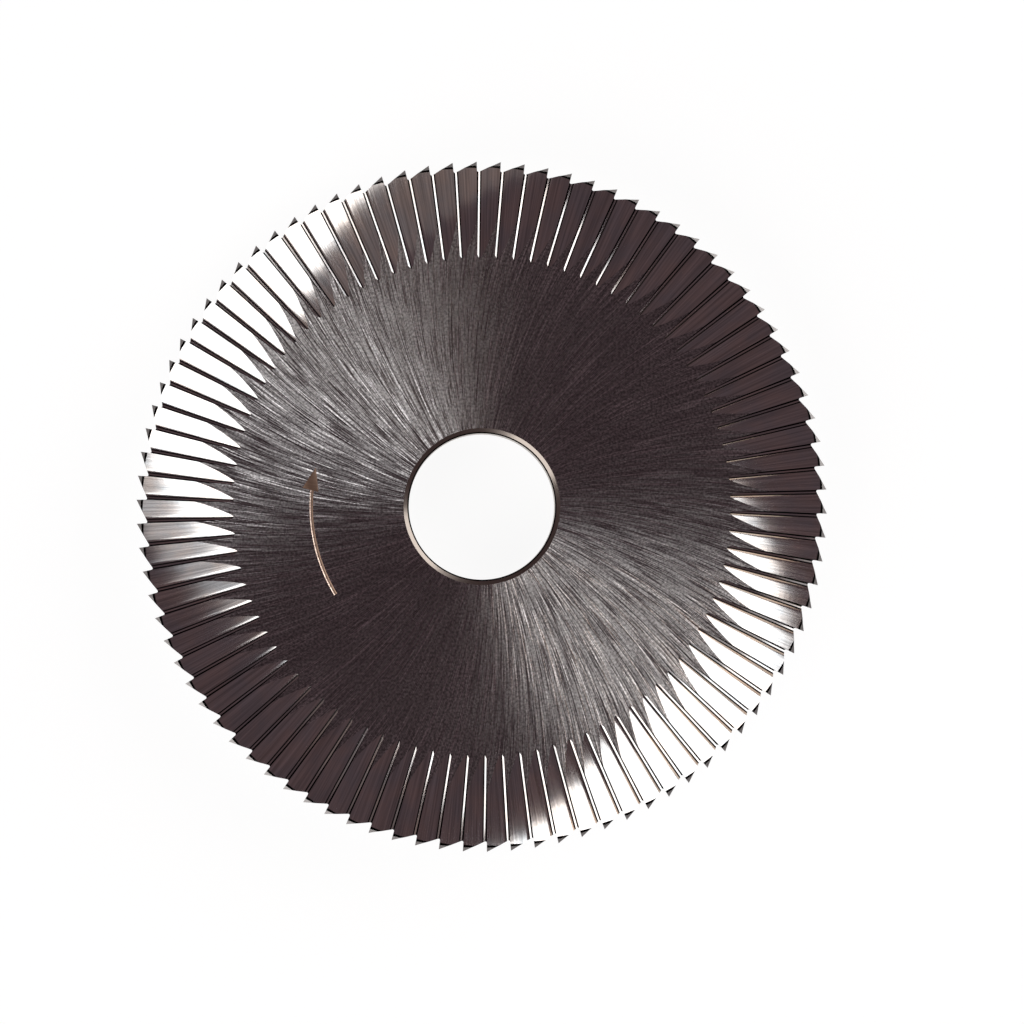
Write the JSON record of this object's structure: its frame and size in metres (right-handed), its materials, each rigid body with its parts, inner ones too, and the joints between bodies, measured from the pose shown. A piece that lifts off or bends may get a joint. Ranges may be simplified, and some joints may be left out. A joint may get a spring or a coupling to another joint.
{
  "type": "key cutting wheel",
  "caption": "Toothed steel disc with side flutes on its flat face and back cone, a chamfered spindle bore and an engraved turning arrow; it mills key blanks.",
  "frame": {"origin": "on the bore axis, in the plane of the flat back face", "axes": "+Z along the bore axis from the back face to the fluted front face that carries the arrow, +Y towards the top of the picture"},
  "size_m": [0.06, 0.06, 0.0073],
  "materials": {
    "tool_steel": "ground, with fine scratches that run outwards from the bore, and bright ground flutes"
  },
  "bodies": {
    "root": {"cutting_wheel": "tool_steel"}
  },
  "joints": []
}
